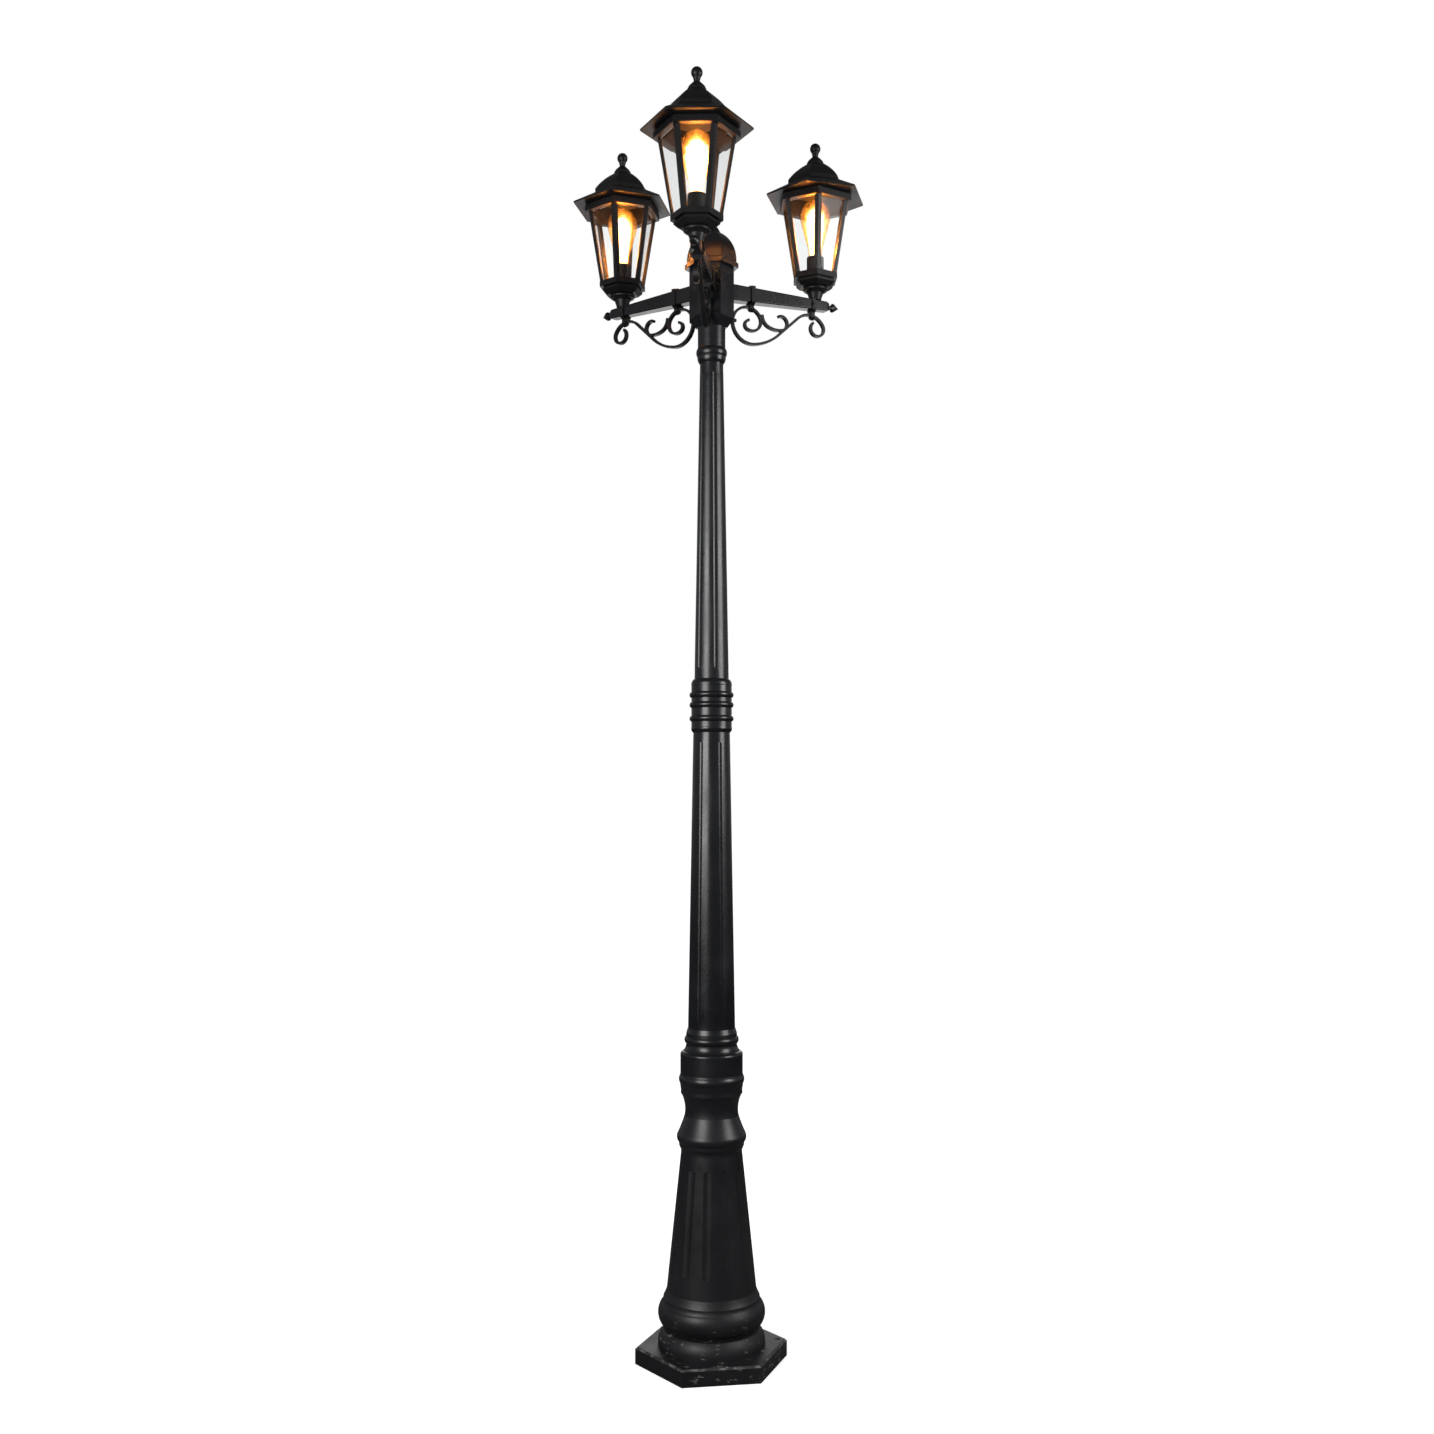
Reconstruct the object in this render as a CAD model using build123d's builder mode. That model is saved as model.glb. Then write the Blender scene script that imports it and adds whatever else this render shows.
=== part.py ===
from build123d import *
import os
from math import acos, atan, cos, degrees, radians, sin, tan

# A classic garden lamp post: a hexagonal foot, a fluted pedestal, two tapered fluted tubes with
# turned couplings, a hexagonal head, and three arms that each carry a scroll bracket and a
# six-sided lantern.  Millimetres, +Z up, origin on the ground at the post's axis.
# The front arm points along -Y and the other two stand 120 degrees to either side of it.

# ---------------------------------------------------------------- driving dimensions
ARM_AZIMUTH = {"front": -90, "right": 30, "left": 150}
LANTERN_CORNER = {"front": -55, "right": -82, "left": -94}  # azimuth of one corner of each lantern
ROOF_CORNER = {"front": -55, "right": -98, "left": -94}  # and of each roof, which turns on its lantern
LANTERN_REACH = 226  # post axis to lantern axis

PLATE_FLATS = 258
PLATE_THICK = 33
PLATE_TURN = 15  # azimuth of one corner of the foot
CABLE_BORE_R = 30
ANCHOR_CIRCLE_R = 130
ANCHOR_HOLE_R = 5.5
ANCHOR_COUNT = 3
BOSS_TOP = 65
BOSS_BORE_R = 84
PEDESTAL_CONE = ((87, 141), (59.4, 405))  # radius and height at the ends of its fluted cone

PEDESTAL_TOP = 519
COLLAR_TOP = 645
LOWER_TUBE_TOP = 1217
MIDDLE_TOP = 1321
UPPER_TUBE_TOP = 1932
TOP_COUPLING_TOP = 1962
LOWER_TUBE_R = (45.7, 35.6)  # at its foot and at its top
UPPER_TUBE_R = (33.4, 22.6)
TUBE_WALL = 3.5
SPIGOT_LENGTH = 24
SPIGOT_GAP = 0.6

STUB_R = 26.7
STUB_BORE_R = 21.4
BOX_FLATS = 75.5
BOX_FOOT = 2019
BOX_TOP = 2122
BOX_WALL = 3.5
WEB_LOW = 2012
WEB_HIGH = 2026
WEB_HOLE_R = 6

ARM_AXIS_Z = 2075.5
ARM_ROOT = (25, 31)  # width and height where the arm leaves the head
ARM_END = (19, 18.5)
ARM_NOSE = (14, 14)
ARM_END_R = 248
ARM_NOSE_R = 254
ARM_FINIAL_TIP = 277
ARM_WALL = 3
LEAD_Z = 2072
LEAD_R = 2

BAR_THICK = 5  # scroll bar, seen from the side
BAR_WIDE = 8
INNER_STRAP_R = 84
OUTER_STRAP_R = 218
STRAP_WIDE = 8
STRAP_THICK = 2.5
SCROLL_SCREW_Z = 2024

CUP_FOOT = 2086
CUP_TOP = 2111.5
RAIL_LOW = 2124
RAIL_HIGH = 2135
RING_LOW = 2272.5
RING_STEP = 2284
ROOF_FLOOR = 2286.5
RING_R = 67.9  # these lantern radii are distances from the axis to a flat side
RING_BORE_R = 54.9
BRIM_R = 88.3
CROWN_R = 49.5
SKIRT_R = 54.2
SKIRT_LOW = 2280
ROOF_CAP = 2357
ROOF_TOP = 2370.6
KNOB_TOP = 2400
KNOB_R = 10.5
KNOB_NECK_R = 7.4
KNOB_FOOT_R = 5.4
STUD_R = 3.95
PANE_THICK = 2.5
FRAME_WALL = 3
POST_LEG = 8  # width of each leg of a lantern's corner posts
HOLDER_FOOT = 2131
HOLDER_TOP = 2172
HOLDER_R = 17
SOCKET_R = 13.6
BULB_CAP_R = 13.2
BULB_NECK_R = 13.5
BULB_WALL = 0.8
WIRE_LOW = 2198
WIRE_TOP = 2262
NIPPLE_R = 5
NIPPLE_BORE_R = 3.3

SET_SCREW_R = 3
SET_SCREW_AZIMUTHS = (60, 120)
SET_SCREW_SEATS = ((497, 45.8, 51.2), (1973, 21.1, 26.2))  # height, inner end and outer end

HEX_COS = cos(radians(30))
HEX_TAN = tan(radians(30))
BOX_FACE = BOX_FLATS / 2

os.makedirs("parts", exist_ok=True)


# ---------------------------------------------------------------- helpers
def keep(piece, name):
    """Label a finished piece and write it under its node name."""
    piece.label = name
    export_step(piece, f"parts/{name}.step")


def direction(azimuth):
    """The horizontal unit vector at an azimuth."""
    return cos(radians(azimuth)), sin(radians(azimuth))


def upright(azimuth, centre=(0, 0)):
    """A vertical plane through centre: local x runs outward along azimuth and local y runs up."""
    x, y = direction(azimuth)
    return Plane(origin=(*centre, 0), x_dir=(x, y, 0), z_dir=(y, -x, 0))


def hexagonal(outline, centre, face_azimuth):
    """A six-sided solid whose faces follow one side outline, given as (distance of face, Z)."""
    with BuildPart() as solid:
        for k in range(3):
            with BuildSketch(upright(face_azimuth + 60 * k, centre)):
                with BuildLine():
                    outline()
                make_face()
                mirror(about=Plane.YZ)
            extrude(amount=200, both=True, mode=Mode.INTERSECT if k else Mode.ADD)
    return solid.part


def polygon(*points):
    """An outline of straight runs that closes on the axis, for hexagonal."""

    def draw():
        low, high = points[0][1], points[-1][1]
        Polyline((0, low), *points, (0, high), close=True)

    return draw


def flute(radius, z_low, z_high, lean, width, depth):
    """A cutter for one groove with rounded ends, in a cone of the given mid radius and lean."""
    a = radians(lean)
    normal = Vector(cos(a), 0, sin(a))
    along = Vector(-sin(a), 0, cos(a))
    floor = Vector(radius, 0, (z_low + z_high) / 2) - normal * depth
    face = Plane(origin=floor, x_dir=along, z_dir=normal)
    length = (z_high - z_low) / cos(a)
    hollow_r = width**2 / (8 * depth) + depth / 2
    with BuildPart() as cutter:
        with BuildSketch(face):
            SlotOverall(length, width)
        extrude(amount=depth * 3)
        with BuildSketch(Plane(origin=floor - along * length, x_dir=normal, z_dir=along)):
            with Locations((hollow_r, 0)):
                Circle(hollow_r)
        extrude(amount=2 * length, mode=Mode.INTERSECT)
    return cutter.part


def tapered_tube(radii, z_low, z_high, wall, flute_z, flute_count, flute_turn, width, depth):
    """A hollow post section, straight in taper, with a ring of grooves."""
    r_low, r_high = radii
    slope = (r_low - r_high) / (z_high - z_low)
    middle = sum(flute_z) / 2
    mid_r = r_low - slope * (middle - z_low)
    lean = degrees_of(slope)
    with BuildPart() as tube:
        with BuildSketch(Plane.XZ):
            with BuildLine():
                Polyline((r_low, z_low), (r_high, z_high), (r_high - wall, z_high),
                         (r_low - wall, z_low), close=True)
            make_face()
        revolve(axis=Axis.Z)
        cutter = flute(mid_r, *flute_z, lean, width, depth)
        with PolarLocations(0, flute_count, start_angle=flute_turn):
            add(cutter, mode=Mode.SUBTRACT)
    return tube.part


def degrees_of(slope):
    """The lean in degrees of a side that closes in by slope for each unit of height."""
    return degrees(atan(slope))


def set_screw_holes():
    """Cutters for the set screws' holes."""
    with BuildPart() as holes:
        for height, inner, outer in SET_SCREW_SEATS:
            for azimuth in SET_SCREW_AZIMUTHS:
                x, y = direction(azimuth)
                with BuildSketch(Plane(origin=(x * (inner - 1), y * (inner - 1), height), z_dir=(x, y, 0))):
                    Circle(SET_SCREW_R + 0.05)
                extrude(amount=outer - inner + 6)
    return holes.part


def ball(height, radius, neck_r):
    """Half the outline of a ball on the axis, from the neck that carries it up to its pole."""
    start = -degrees(acos(neck_r / radius))
    return CenterArc((0, height), radius, start, 90 - start)


# ---------------------------------------------------------------- foot and pedestal
with BuildPart() as base_plate:
    with BuildSketch():
        RegularPolygon(PLATE_FLATS / 2 / HEX_COS, 6, rotation=PLATE_TURN)
    extrude(amount=PLATE_THICK)
    chamfer(base_plate.faces().sort_by(Axis.Z)[-1].edges(), 4)
    with BuildSketch(Plane.XZ):
        with BuildLine():
            Polyline((93, BOSS_TOP), (BOSS_BORE_R, BOSS_TOP), (BOSS_BORE_R, PLATE_THICK - 6),
                     (104, PLATE_THICK - 6), (104, PLATE_THICK + 4))
            ThreePointArc((104, PLATE_THICK + 4), (101.5, 52), (93, BOSS_TOP))
        make_face()
    revolve(axis=Axis.Z)
    with BuildSketch():
        Circle(CABLE_BORE_R)
        with PolarLocations(ANCHOR_CIRCLE_R, ANCHOR_COUNT, start_angle=PLATE_TURN):
            Circle(ANCHOR_HOLE_R)
    extrude(amount=PLATE_THICK, mode=Mode.SUBTRACT)
keep(base_plate.part, "base_plate")

cone_foot, cone_top = PEDESTAL_CONE
cone_slope = (cone_foot[0] - cone_top[0]) / (cone_top[1] - cone_foot[1])
PEDESTAL_FLUTE = (177, 380)  # heights of its ends
groove_middle = sum(PEDESTAL_FLUTE) / 2
groove_r = cone_foot[0] - cone_slope * (groove_middle - cone_foot[1])
with BuildPart() as pedestal:
    with BuildSketch(Plane.XZ):
        with BuildLine():
            ThreePointArc((92.5, BOSS_TOP), (94.5, 72), (99, 78))
            ThreePointArc((99, 78), (104, 95), (99, 113))
            ThreePointArc((99, 113), (94.8, 119), (93.5, 126))
            ThreePointArc((93.5, 126), (90.5, 132), cone_foot)
            Polyline(cone_foot, cone_top, (59.4, 410), (63, 418), (63.5, 424), (66, 428))
            ThreePointArc((66, 428), (67.6, 435), (65.5, 442.5))
            ThreePointArc((65.5, 442.5), (57.5, 461.5), (52.5, 476))
            ThreePointArc((52.5, 476), (51.4, 488), (53, 502))
            ThreePointArc((53, 502), (55.5, 511), (59.2, PEDESTAL_TOP))
            Polyline((59.2, PEDESTAL_TOP), (46, PEDESTAL_TOP), (46, 476), (54, 440), (54, 410),
                     (81.5, 141), (86, 120), (BOSS_BORE_R, BOSS_TOP), (92.5, BOSS_TOP))
        make_face()
    revolve(axis=Axis.Z)
    groove = flute(groove_r, *PEDESTAL_FLUTE, degrees_of(cone_slope), 18, 2.6)
    with PolarLocations(0, 12):
        add(groove, mode=Mode.SUBTRACT)
    add(set_screw_holes(), mode=Mode.SUBTRACT)
keep(pedestal.part, "pedestal")

with BuildPart() as pedestal_collar:
    with BuildSketch(Plane.XZ):
        with BuildLine():
            Polyline((41, PEDESTAL_TOP - 24), (45.7, PEDESTAL_TOP - 24), (45.7, PEDESTAL_TOP),
                     (59.8, PEDESTAL_TOP), (59.6, 526), (61.6, 539))
            ThreePointArc((61.6, 539), (63.6, 546.5), (61.2, 554))
            Polyline((61.2, 554), (60.5, 558), (60.5, 593))
            ThreePointArc((60.5, 593), (59.2, 598), (55, 600.5))
            ThreePointArc((55, 600.5), (51.3, 606), (49.3, 615))
            ThreePointArc((49.3, 615), (52.7, 622.5), (49.5, 629.5))
            Polyline((49.5, 629.5), (49, 636), (46.2, COLLAR_TOP))
            Polyline((46.2, COLLAR_TOP), (41.3, COLLAR_TOP), (41.3, COLLAR_TOP + SPIGOT_LENGTH),
                     (36, COLLAR_TOP + SPIGOT_LENGTH), (36, COLLAR_TOP - 20), (41, PEDESTAL_TOP - 24))
        make_face()
    revolve(axis=Axis.Z)
keep(pedestal_collar.part, "pedestal_collar")

# ---------------------------------------------------------------- tubes and couplings
lower_tube = tapered_tube(LOWER_TUBE_R, COLLAR_TOP, LOWER_TUBE_TOP, TUBE_WALL,
                          (665, 1198), 6, -57, 9, 1.6)
keep(lower_tube, "lower_tube")
upper_tube = tapered_tube(UPPER_TUBE_R, MIDDLE_TOP, UPPER_TUBE_TOP, 3,
                          (1341, 1913), 6, -67.5, 10, 1.5)
keep(upper_tube, "upper_tube")

BARREL_R = 39.3
BEAD_R = 43
BEAD_HEIGHTS = (1244, 1270.5, 1290)
with BuildPart() as middle_coupling:
    with BuildSketch(Plane.XZ):
        with BuildLine():
            ThreePointArc((36, LOWER_TUBE_TOP), (38.8, 1220.5), (BARREL_R, 1228))
            last = (BARREL_R, 1228)
            for bead in BEAD_HEIGHTS:
                Line(last, (BARREL_R, bead - 6))
                ThreePointArc((BARREL_R, bead - 6), (BEAD_R, bead), (BARREL_R, bead + 6))
                last = (BARREL_R, bead + 6)
            Line(last, (BARREL_R, 1308))
            ThreePointArc((BARREL_R, 1308), (38, 1316.5), (34, MIDDLE_TOP))
            top_spigot = UPPER_TUBE_R[0] - 3 - SPIGOT_GAP
            foot_spigot = LOWER_TUBE_R[1] - TUBE_WALL - SPIGOT_GAP
            Polyline((34, MIDDLE_TOP), (top_spigot, MIDDLE_TOP),
                     (top_spigot, MIDDLE_TOP + SPIGOT_LENGTH), (25, MIDDLE_TOP + SPIGOT_LENGTH),
                     (25, LOWER_TUBE_TOP - SPIGOT_LENGTH), (foot_spigot, LOWER_TUBE_TOP - SPIGOT_LENGTH),
                     (foot_spigot, LOWER_TUBE_TOP), (36, LOWER_TUBE_TOP))
        make_face()
    revolve(axis=Axis.Z)
keep(middle_coupling.part, "middle_coupling")

with BuildPart() as top_coupling:
    with BuildSketch(Plane.XZ):
        with BuildLine():
            Polyline((19, UPPER_TUBE_TOP - SPIGOT_LENGTH), (19, UPPER_TUBE_TOP), (23, UPPER_TUBE_TOP))
            ThreePointArc((23, UPPER_TUBE_TOP), (26.8, 1938.5), (27.6, 1946))
            ThreePointArc((27.6, 1946), (30, 1953.5), (27.6, 1961))
            Polyline((27.6, 1961), (27.2, TOP_COUPLING_TOP), (21, TOP_COUPLING_TOP),
                     (21, TOP_COUPLING_TOP + 22), (15, TOP_COUPLING_TOP + 22),
                     (15, UPPER_TUBE_TOP - SPIGOT_LENGTH), (19, UPPER_TUBE_TOP - SPIGOT_LENGTH))
        make_face()
    revolve(axis=Axis.Z)
keep(top_coupling.part, "top_coupling")

# Two socket set screws at the back lock each outer sleeve to the spigot inside it.
with BuildPart() as set_screws:
    for height, inner, outer in SET_SCREW_SEATS:
        for azimuth in SET_SCREW_AZIMUTHS:
            x, y = direction(azimuth)
            with BuildSketch(Plane(origin=(x * inner, y * inner, height), z_dir=(x, y, 0))):
                Circle(SET_SCREW_R)
            extrude(amount=outer - inner)
            with BuildSketch(Plane(origin=(x * outer, y * outer, height), z_dir=(x, y, 0))):
                RegularPolygon(1.8, 6)
            extrude(amount=-2, mode=Mode.SUBTRACT)
keep(set_screws.part, "set_screws")

# ---------------------------------------------------------------- head
front_face = ARM_AZIMUTH["front"]
box_bore = BOX_FACE - BOX_WALL
box_side = polygon((STUB_R, 2002), (BOX_FACE, BOX_FOOT), (BOX_FACE, BOX_TOP))
box_outer = hexagonal(box_side, (0, 0), front_face)
box_inner = hexagonal(polygon((box_bore, WEB_HIGH), (box_bore, BOX_TOP)), (0, 0), front_face)
with BuildPart() as head_box:
    add(box_outer)
    with BuildSketch(Plane.XY.offset(TOP_COUPLING_TOP)):
        Circle(STUB_R)
    extrude(amount=2010 - TOP_COUPLING_TOP)
    add(box_inner, mode=Mode.SUBTRACT)
    with BuildSketch(Plane.XY.offset(TOP_COUPLING_TOP)):
        Circle(STUB_BORE_R)
    extrude(amount=WEB_LOW - TOP_COUPLING_TOP, mode=Mode.SUBTRACT)
    with BuildSketch(Plane.XY.offset(WEB_LOW)):
        Circle(WEB_HOLE_R)
    extrude(amount=WEB_HIGH - WEB_LOW, mode=Mode.SUBTRACT)
    for azimuth in ARM_AZIMUTH.values():
        x, y = direction(azimuth)
        with BuildSketch(Plane(origin=(x * 30, y * 30, 0), z_dir=(x, y, 0), x_dir=(-y, x, 0))):
            with Locations((0, LEAD_Z)):
                Circle(6)
            with Locations((0, SCROLL_SCREW_Z)):
                Circle(2.1)
        extrude(amount=10, mode=Mode.SUBTRACT)
    add(set_screw_holes(), mode=Mode.SUBTRACT)
keep(head_box.part, "head_box")

DOME_FLATS_R = 48.5 * HEX_COS
DOME_LIP_R = 52.4 * HEX_COS
DOME_SPRING = 2133
DOME_CROWN = 2191


def dome_side():
    """Half of the dome's side: an upright lip, a small shoulder and a quarter of an ellipse."""
    Polyline((0, 2117), (DOME_LIP_R, 2117), (DOME_LIP_R, 2126), (DOME_FLATS_R, 2129),
             (DOME_FLATS_R, DOME_SPRING))
    crown = EllipticalCenterArc((0, DOME_SPRING), DOME_FLATS_R, DOME_CROWN - DOME_SPRING, 0, arc_size=75)
    Polyline(crown @ 1, (0, (crown @ 1).Y), (0, 2117))


def dome_hollow():
    """The dome's inside, parallel to its side, above the seat that fits over the box."""
    Polyline((0, BOX_TOP), (34.5, BOX_TOP), (34.5, DOME_SPRING))
    crown = EllipticalCenterArc((0, DOME_SPRING), 34.5, 50, 0, arc_size=75)
    Polyline(crown @ 1, (0, (crown @ 1).Y), (0, BOX_TOP))


dome_outer = hexagonal(dome_side, (0, 0), front_face)
dome_inner = hexagonal(dome_hollow, (0, 0), front_face)
dome_seat = hexagonal(polygon((BOX_FACE + 0.3, 2117), (BOX_FACE + 0.3, BOX_TOP)), (0, 0), front_face)
with BuildPart() as head_dome:
    add(dome_outer)
    with BuildSketch(Plane.XZ):
        with BuildLine():
            Polyline((0, 2188), (17, 2188), (12.5, 2196), (0, 2196), close=True)
        make_face()
    revolve(axis=Axis.Z)
    add(dome_inner, mode=Mode.SUBTRACT)
    add(dome_seat, mode=Mode.SUBTRACT)
    with BuildSketch(Plane.XY.offset(2170)):
        Circle(4.1)
    extrude(amount=40, mode=Mode.SUBTRACT)
keep(head_dome.part, "head_dome")

with BuildPart() as dome_finial:
    with BuildSketch(Plane.XZ):
        with BuildLine():
            top = ball(2207, 8, 5)
            Polyline(top @ 1, (0, 2174), (4, 2174), (4, 2196), (7, 2196), top @ 0)
        make_face()
    revolve(axis=Axis.Z)
keep(dome_finial.part, "dome_finial")

TERMINAL_TOP = WEB_HIGH + 16
with BuildPart() as terminal_block:
    with BuildSketch(Plane.XY.offset(WEB_HIGH)):
        Circle(20)
        Circle(WEB_HOLE_R, mode=Mode.SUBTRACT)
    extrude(amount=TERMINAL_TOP - WEB_HIGH)
    with BuildSketch(Plane.XY.offset(TERMINAL_TOP)):
        with PolarLocations(14, 6, start_angle=0):
            Circle(1.8)
    extrude(amount=-6, mode=Mode.SUBTRACT)
keep(terminal_block.part, "terminal_block")


# ---------------------------------------------------------------- arms and scroll brackets
def arm_body(azimuth, wall, start):
    """The tapered arm, grown inward by wall; its three sections share one rounded rectangle."""
    x, y = direction(azimuth)
    stations = ((start, ARM_ROOT), (ARM_END_R, ARM_END), (ARM_NOSE_R - wall, ARM_NOSE))
    with BuildPart() as body:
        for reach, (width, height) in stations:
            origin = (x * reach, y * reach, ARM_AXIS_Z)
            with BuildSketch(Plane(origin=origin, x_dir=(-y, x, 0), z_dir=(x, y, 0))):
                RectangleRounded(width - 2 * wall, height - 2 * wall, 2.2)
        loft(ruled=True)
    return body.part


def scroll_bars(azimuth):
    """The bracket's two bent bars as one weldment, a clip between them and a pad at the head."""
    plane = upright(azimuth)
    # Each step is (radius, turn in degrees), positive to the left; a radius of 0 is a straight run.
    main_bar = ((9.5, 150), (20, 153), (31.5, 153), (41, 92), (100, 34), (0, 58), (36, -103), (14.5, -262))
    curl_bar = ((24, 65), (45, 40), (13.8, 190))
    with BuildPart() as bars:
        for start, heading, steps in (((80, 2028), (-1, 0), main_bar), ((108, 2041.4), (0, -1), curl_bar)):
            with BuildSketch(plane):
                with BuildLine():
                    for radius, turn in steps:
                        if radius:
                            step = JernArc(start, heading, radius, turn)
                        else:
                            step = PolarLine(start, turn, direction=heading)
                        start, heading = step @ 1, step % 1
                trace(line_width=BAR_THICK)
            extrude(amount=BAR_WIDE / 2, both=True)
        with BuildSketch(plane):
            with Locations((106, 2037)):
                Rectangle(9, 9, rotation=12)
            with Locations((BOX_FACE + 3.5, SCROLL_SCREW_Z)):
                Rectangle(7, 9)
        extrude(amount=BAR_WIDE / 2, both=True)
        x, y = direction(azimuth)
        with BuildSketch(Plane(origin=(x * BOX_FACE, y * BOX_FACE, SCROLL_SCREW_Z), z_dir=(x, y, 0))):
            Circle(2.1)
        extrude(amount=12, mode=Mode.SUBTRACT)
    return bars.part


def arm_size(reach):
    """The arm's width and height at a distance from the post's axis."""
    share = (reach - BOX_FACE) / (ARM_END_R - BOX_FACE)
    return tuple(root + (end - root) * share for root, end in zip(ARM_ROOT, ARM_END))


def strap(azimuth, reach, tip_z, solid_arm, bars, closed):
    """A strap round the arm whose pointed tail holds the scroll bar; an open one stops at the top."""
    x, y = direction(azimuth)
    width, height = arm_size(reach)
    half = width / 2 + STRAP_THICK
    low = ARM_AXIS_Z - height / 2
    top = ARM_AXIS_Z + height / 2 + (STRAP_THICK if closed else -1)
    start = reach - STRAP_WIDE / 2
    with BuildPart() as loop:
        with BuildSketch(Plane(origin=(x * start, y * start, 0), x_dir=(-y, x, 0), z_dir=(x, y, 0))):
            with BuildLine():
                Polyline((0, top), (half, top), (half, low - 1), (6.5, low - 6), (6.5, tip_z + 5),
                         (0, tip_z), close=True)
            make_face()
            mirror(about=Plane.YZ)
        extrude(amount=STRAP_WIDE)
        add(solid_arm, mode=Mode.SUBTRACT)
        add(bars, mode=Mode.SUBTRACT)
    return loop.part


def screw(origin, axis, head_r, head_h, shank_r, shank_length):
    """A domed-head screw: origin is under its head and axis points out of the head."""
    with BuildPart() as one:
        with BuildSketch(Plane(origin=origin, z_dir=axis)):
            Circle(head_r)
        extrude(amount=head_h)
        fillet(one.faces().sort_by(Axis(origin, axis))[-1].edges(), head_h * 0.4)
        with BuildSketch(Plane(origin=origin, z_dir=axis)):
            Circle(shank_r)
        extrude(amount=-shank_length)
    return one.part


strap_bolts = []
stirrup_screws = []
scroll_screws = []
for side, azimuth in ARM_AZIMUTH.items():
    x, y = direction(azimuth)
    solid_arm = arm_body(azimuth, 0, BOX_FACE)
    bars = scroll_bars(azimuth)
    keep(bars, f"scroll_{side}")

    bolt_seat = ARM_AXIS_Z + arm_size(INNER_STRAP_R)[1] / 2 + STRAP_THICK
    stirrup_half = arm_size(OUTER_STRAP_R)[0] / 2 + STRAP_THICK
    with BuildPart() as arm:
        add(solid_arm)
        add(arm_body(azimuth, ARM_WALL, 30), mode=Mode.SUBTRACT)
        with BuildSketch(Plane.XY.offset(ARM_AXIS_Z)):
            with Locations((x * LANTERN_REACH, y * LANTERN_REACH)):
                Circle(NIPPLE_R + 0.1)
            with Locations((x * INNER_STRAP_R, y * INNER_STRAP_R)):
                Circle(2.5)
        extrude(amount=20, mode=Mode.SUBTRACT)
        with BuildSketch(upright(azimuth)):
            with Locations((OUTER_STRAP_R, ARM_AXIS_Z)):
                Circle(2)
        extrude(amount=20, both=True, mode=Mode.SUBTRACT)
    keep(arm.part, f"arm_{side}")

    with BuildPart() as arm_finial:
        with BuildSketch(upright(azimuth)):
            with BuildLine():
                Polyline((ARM_NOSE_R, ARM_AXIS_Z), (ARM_NOSE_R, ARM_AXIS_Z + 5.5), (256, ARM_AXIS_Z + 4),
                         (259, ARM_AXIS_Z + 4), (263, ARM_AXIS_Z + 8.5), (265.5, ARM_AXIS_Z + 8.5),
                         (ARM_FINIAL_TIP, ARM_AXIS_Z + 0.8), (ARM_FINIAL_TIP, ARM_AXIS_Z), close=True)
            make_face()
        revolve(axis=Axis((0, 0, ARM_AXIS_Z), (x, y, 0)))
    keep(arm_finial.part, f"arm_finial_{side}")

    with BuildPart() as straps:
        add(strap(azimuth, INNER_STRAP_R, 2044, solid_arm, bars, True))
        add(strap(azimuth, OUTER_STRAP_R, 2045, solid_arm, bars, False))
        with BuildSketch(Plane.XY.offset(ARM_AXIS_Z)):
            with Locations((x * INNER_STRAP_R, y * INNER_STRAP_R)):
                Circle(2.5)
        extrude(amount=30, mode=Mode.SUBTRACT)
        with BuildSketch(upright(azimuth)):
            with Locations((OUTER_STRAP_R, ARM_AXIS_Z)):
                Circle(2)
        extrude(amount=20, both=True, mode=Mode.SUBTRACT)
    keep(straps.part, f"arm_straps_{side}")

    bolt_origin = (x * INNER_STRAP_R, y * INNER_STRAP_R, bolt_seat)
    strap_bolts.append(screw(bolt_origin, (0, 0, 1), 4.5, 3.5, 2.4, 8))
    scroll_origin = (x * 47.6, y * 47.6, SCROLL_SCREW_Z)
    scroll_screws.append(screw(scroll_origin, (x, y, 0), 3.6, 5, 2, 13))
    for hand in (1, -1):
        out = (-y * hand, x * hand, 0)
        seat = Vector(x * OUTER_STRAP_R, y * OUTER_STRAP_R, ARM_AXIS_Z) + Vector(*out) * stirrup_half
        stirrup_screws.append(screw(seat, out, 3.4, 1.8, 1.9, 5.5))

    # The lead to each lampholder runs from the terminal block through the hollow arm.
    with BuildPart() as lead:
        with BuildLine(upright(azimuth)) as route:
            rise = Line((12, TERMINAL_TOP), (12, LEAD_Z - 16))
            turn_out = JernArc(rise @ 1, rise % 1, 16, -90)
            along_arm = Line(turn_out @ 1, (LANTERN_REACH - 12, LEAD_Z))
            turn_up = JernArc(along_arm @ 1, along_arm % 1, 12, 90)
            Line(turn_up @ 1, (LANTERN_REACH, HOLDER_FOOT))
        with BuildSketch(Plane(origin=(x * 12, y * 12, TERMINAL_TOP))):
            Circle(LEAD_R)
        sweep(path=route.line)
    keep(lead.part, f"lead_{side}")

# Identical fasteners share one node each.
groups = {"strap_bolts": strap_bolts, "stirrup_screws": stirrup_screws, "scroll_screws": scroll_screws}
for name, pieces in groups.items():
    with BuildPart() as fasteners:
        for piece in pieces:
            add(piece)
    keep(fasteners.part, name)

# ---------------------------------------------------------------- lanterns
FACE_LOW = 40.8  # distance of a glazed face from the lantern's axis at RAIL_HIGH
FACE_HIGH = 61.2  # and at RING_LOW
SIDE_SLOPE = (FACE_HIGH - FACE_LOW) / (RING_LOW - RAIL_HIGH)


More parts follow.
